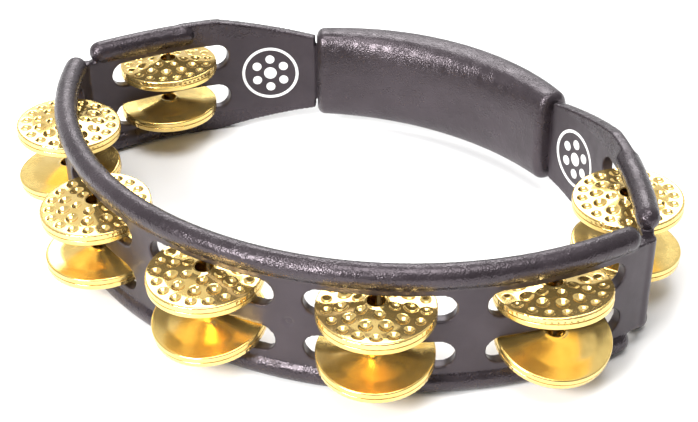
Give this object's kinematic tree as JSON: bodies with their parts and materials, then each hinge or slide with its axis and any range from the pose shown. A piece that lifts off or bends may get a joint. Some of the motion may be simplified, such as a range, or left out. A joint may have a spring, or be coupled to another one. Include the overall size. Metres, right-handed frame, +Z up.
{
  "type": "tambourine",
  "caption": "Headless crescent hand tambourine: black moulded ring with a curved grip, double rows of loose cupped brass jingles on upright pins.",
  "frame": {"origin": "under the middle of the whole outline, on the surface that the lower rails lie on", "axes": "+X to the right along the widest direction, +Y from the middle of the hoop towards the grip, +Z up along the pins"},
  "size_m": [0.2745, 0.2221, 0.0564],
  "materials": {
    "black_plastic": "satin with fine leather grain on the rails",
    "grip_plastic": "leather grain",
    "white_print": "satin ink",
    "pin_metal": "polished",
    "dimpled_brass": "polished and dimpled",
    "smooth_brass": "polished, lightly spun"
  },
  "bodies": {
    "frame": {"frame_ring": "black_plastic", "grip": "grip_plastic", "mark_left": "white_print", "mark_right": "white_print", "pin_1": "pin_metal", "pin_2": "pin_metal", "pin_3": "pin_metal", "pin_4": "pin_metal", "pin_5": "pin_metal", "pin_6": "pin_metal", "pin_7": "pin_metal"},
    "jingle_1_lower_bottom": {"jingle_1_lower_bottom": "dimpled_brass"},
    "jingle_1_lower_top": {"jingle_1_lower_top": "smooth_brass"},
    "jingle_1_upper_bottom": {"jingle_1_upper_bottom": "smooth_brass"},
    "jingle_1_upper_top": {"jingle_1_upper_top": "dimpled_brass"},
    "jingle_2_lower_bottom": {"jingle_2_lower_bottom": "dimpled_brass"},
    "jingle_2_lower_top": {"jingle_2_lower_top": "smooth_brass"},
    "jingle_2_upper_bottom": {"jingle_2_upper_bottom": "smooth_brass"},
    "jingle_2_upper_top": {"jingle_2_upper_top": "dimpled_brass"},
    "jingle_3_lower_bottom": {"jingle_3_lower_bottom": "dimpled_brass"},
    "jingle_3_lower_top": {"jingle_3_lower_top": "smooth_brass"},
    "jingle_3_upper_bottom": {"jingle_3_upper_bottom": "smooth_brass"},
    "jingle_3_upper_top": {"jingle_3_upper_top": "dimpled_brass"},
    "jingle_4_lower_bottom": {"jingle_4_lower_bottom": "dimpled_brass"},
    "jingle_4_lower_top": {"jingle_4_lower_top": "smooth_brass"},
    "jingle_4_upper_bottom": {"jingle_4_upper_bottom": "smooth_brass"},
    "jingle_4_upper_top": {"jingle_4_upper_top": "dimpled_brass"},
    "jingle_5_lower_bottom": {"jingle_5_lower_bottom": "dimpled_brass"},
    "jingle_5_lower_top": {"jingle_5_lower_top": "smooth_brass"},
    "jingle_5_upper_bottom": {"jingle_5_upper_bottom": "smooth_brass"},
    "jingle_5_upper_top": {"jingle_5_upper_top": "dimpled_brass"},
    "jingle_6_lower_bottom": {"jingle_6_lower_bottom": "dimpled_brass"},
    "jingle_6_lower_top": {"jingle_6_lower_top": "smooth_brass"},
    "jingle_6_upper_bottom": {"jingle_6_upper_bottom": "smooth_brass"},
    "jingle_6_upper_top": {"jingle_6_upper_top": "dimpled_brass"},
    "jingle_7_lower_bottom": {"jingle_7_lower_bottom": "dimpled_brass"},
    "jingle_7_lower_top": {"jingle_7_lower_top": "smooth_brass"},
    "jingle_7_upper_bottom": {"jingle_7_upper_bottom": "smooth_brass"},
    "jingle_7_upper_top": {"jingle_7_upper_top": "dimpled_brass"}
  },
  "joints": [
    {"name": "jingle_1_lower_bottom_slide", "type": "slide", "parent": "frame", "child": "jingle_1_lower_bottom", "axis": [0, 0, 1], "range_m": [0, 0.0006]},
    {"name": "jingle_1_lower_top_slide", "type": "slide", "parent": "jingle_1_lower_bottom", "child": "jingle_1_lower_top", "axis": [0, 0, 1], "range_m": [0, 0.0006]},
    {"name": "jingle_1_upper_bottom_slide", "type": "slide", "parent": "frame", "child": "jingle_1_upper_bottom", "axis": [0, 0, 1], "range_m": [0, 0.00075]},
    {"name": "jingle_1_upper_top_slide", "type": "slide", "parent": "jingle_1_upper_bottom", "child": "jingle_1_upper_top", "axis": [0, 0, 1], "range_m": [0, 0.00075]},
    {"name": "jingle_2_lower_bottom_slide", "type": "slide", "parent": "frame", "child": "jingle_2_lower_bottom", "axis": [0, 0, 1], "range_m": [0, 0.00085]},
    {"name": "jingle_2_lower_top_slide", "type": "slide", "parent": "jingle_2_lower_bottom", "child": "jingle_2_lower_top", "axis": [0, 0, 1], "range_m": [0, 0.00085]},
    {"name": "jingle_2_upper_bottom_slide", "type": "slide", "parent": "frame", "child": "jingle_2_upper_bottom", "axis": [0, 0, 1], "range_m": [0, 0.0007]},
    {"name": "jingle_2_upper_top_slide", "type": "slide", "parent": "jingle_2_upper_bottom", "child": "jingle_2_upper_top", "axis": [0, 0, 1], "range_m": [0, 0.0007]},
    {"name": "jingle_3_lower_bottom_slide", "type": "slide", "parent": "frame", "child": "jingle_3_lower_bottom", "axis": [0, 0, 1], "range_m": [0, 0.00035]},
    {"name": "jingle_3_lower_top_slide", "type": "slide", "parent": "jingle_3_lower_bottom", "child": "jingle_3_lower_top", "axis": [0, 0, 1], "range_m": [0, 0.00035]},
    {"name": "jingle_3_upper_bottom_slide", "type": "slide", "parent": "frame", "child": "jingle_3_upper_bottom", "axis": [0, 0, 1], "range_m": [0, 0.00075]},
    {"name": "jingle_3_upper_top_slide", "type": "slide", "parent": "jingle_3_upper_bottom", "child": "jingle_3_upper_top", "axis": [0, 0, 1], "range_m": [0, 0.00075]},
    {"name": "jingle_4_lower_bottom_slide", "type": "slide", "parent": "frame", "child": "jingle_4_lower_bottom", "axis": [0, 0, 1], "range_m": [0, 0.0005]},
    {"name": "jingle_4_lower_top_slide", "type": "slide", "parent": "jingle_4_lower_bottom", "child": "jingle_4_lower_top", "axis": [0, 0, 1], "range_m": [0, 0.0005]},
    {"name": "jingle_4_upper_bottom_slide", "type": "slide", "parent": "frame", "child": "jingle_4_upper_bottom", "axis": [0, 0, 1], "range_m": [0, 0.0008]},
    {"name": "jingle_4_upper_top_slide", "type": "slide", "parent": "jingle_4_upper_bottom", "child": "jingle_4_upper_top", "axis": [0, 0, 1], "range_m": [0, 0.0008]},
    {"name": "jingle_5_lower_bottom_slide", "type": "slide", "parent": "frame", "child": "jingle_5_lower_bottom", "axis": [0, 0, 1], "range_m": [0, 0.00015]},
    {"name": "jingle_5_lower_top_slide", "type": "slide", "parent": "jingle_5_lower_bottom", "child": "jingle_5_lower_top", "axis": [0, 0, 1], "range_m": [0, 0.00015]},
    {"name": "jingle_5_upper_bottom_slide", "type": "slide", "parent": "frame", "child": "jingle_5_upper_bottom", "axis": [0, 0, 1], "range_m": [0, 0.0006]},
    {"name": "jingle_5_upper_top_slide", "type": "slide", "parent": "jingle_5_upper_bottom", "child": "jingle_5_upper_top", "axis": [0, 0, 1], "range_m": [0, 0.0006]},
    {"name": "jingle_6_lower_bottom_slide", "type": "slide", "parent": "frame", "child": "jingle_6_lower_bottom", "axis": [0, 0, 1], "range_m": [0, 0.00085]},
    {"name": "jingle_6_lower_top_slide", "type": "slide", "parent": "jingle_6_lower_bottom", "child": "jingle_6_lower_top", "axis": [0, 0, 1], "range_m": [0, 0.00085]},
    {"name": "jingle_6_upper_bottom_slide", "type": "slide", "parent": "frame", "child": "jingle_6_upper_bottom", "axis": [0, 0, 1], "range_m": [0, 0.0008]},
    {"name": "jingle_6_upper_top_slide", "type": "slide", "parent": "jingle_6_upper_bottom", "child": "jingle_6_upper_top", "axis": [0, 0, 1], "range_m": [0, 0.0008]},
    {"name": "jingle_7_lower_bottom_slide", "type": "slide", "parent": "frame", "child": "jingle_7_lower_bottom", "axis": [0, 0, 1], "range_m": [0, 0.0007]},
    {"name": "jingle_7_lower_top_slide", "type": "slide", "parent": "jingle_7_lower_bottom", "child": "jingle_7_lower_top", "axis": [0, 0, 1], "range_m": [0, 0.0007]},
    {"name": "jingle_7_upper_bottom_slide", "type": "slide", "parent": "frame", "child": "jingle_7_upper_bottom", "axis": [0, 0, 1], "range_m": [0, 0.0008]},
    {"name": "jingle_7_upper_top_slide", "type": "slide", "parent": "jingle_7_upper_bottom", "child": "jingle_7_upper_top", "axis": [0, 0, 1], "range_m": [0, 0.0008]}
  ]
}
